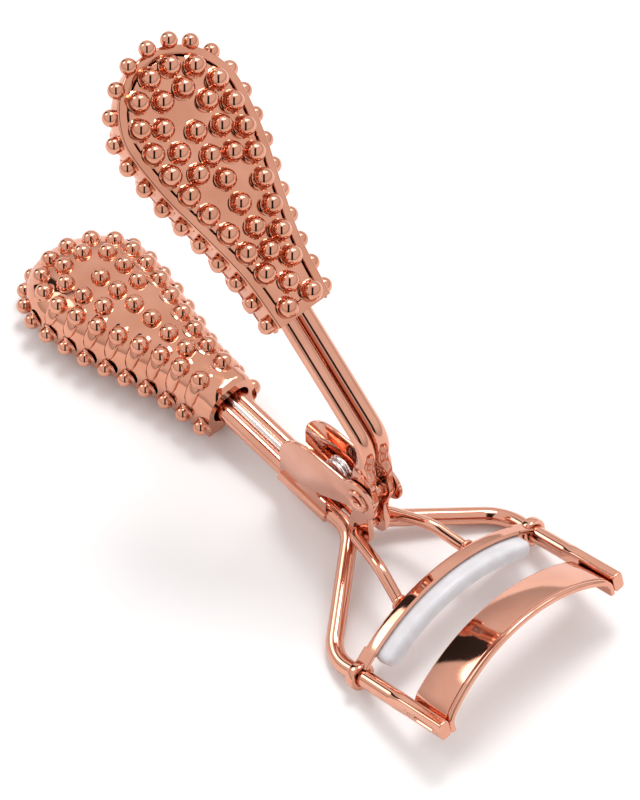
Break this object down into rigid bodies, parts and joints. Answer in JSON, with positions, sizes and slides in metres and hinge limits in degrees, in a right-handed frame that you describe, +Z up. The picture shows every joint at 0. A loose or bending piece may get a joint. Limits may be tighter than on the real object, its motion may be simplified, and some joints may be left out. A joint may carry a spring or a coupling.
{
  "type": "eyelash curler",
  "caption": "Eyelash curler: two wire handles with beaded grips, a sprung lever that slides a padded curved jaw along two rails against a fixed curved jaw.",
  "frame": {"origin": "bottom centre of the bounding box, on the table the curler lies on", "axes": "+X from the grips to the jaws, +Y towards the right rail, +Z up; the XZ plane is the plane of symmetry of the frame and the jaws"},
  "size_m": [0.1149, 0.0428, 0.0793],
  "materials": {
    "plated_wire": "mirror-polished rose-gold plating on round steel wire",
    "plated_sheet": "mirror-polished rose-gold plating on steel sheet",
    "plated_plastic": "mirror-bright rose-gold plating on moulded plastic",
    "spring_steel": "bright drawn spring wire",
    "white_silicone": "satin white silicone"
  },
  "bodies": {
    "frame": {"frame_wire_left": "plated_wire", "frame_wire_right": "plated_wire", "hinge_bracket": "plated_sheet", "pivot_rivet": "plated_sheet", "torsion_spring": "spring_steel", "fixed_jaw": "plated_sheet", "lower_grip_shell": "plated_plastic", "lower_grip_cover": "plated_plastic"},
    "lever": {"lever_wire_left": "plated_wire", "lever_wire_right": "plated_wire", "upper_grip_shell": "plated_plastic", "upper_grip_cover": "plated_plastic"},
    "jaw": {"moving_jaw": "plated_sheet", "silicone_pad": "white_silicone", "push_rod": "plated_wire"}
  },
  "joints": [
    {"name": "lever_hinge", "type": "hinge", "parent": "frame", "child": "lever", "pos_m": [0.0217, 0, 0.0168], "axis": [0, -1, 0], "range_deg": [0, 41.6], "stiffness_Nm_per_rad": 0.06, "springref_deg": -45.84, "deforming": ["torsion_spring"]},
    {"name": "jaw_slide", "type": "slide", "parent": "frame", "child": "jaw", "axis": [0.9494, 0, 0.314], "range_m": [0, 0.00711]}
  ],
  "couplings": [
    {"joint": "jaw_slide", "follows": "lever_hinge", "m_per_rad": 0.009782}
  ]
}
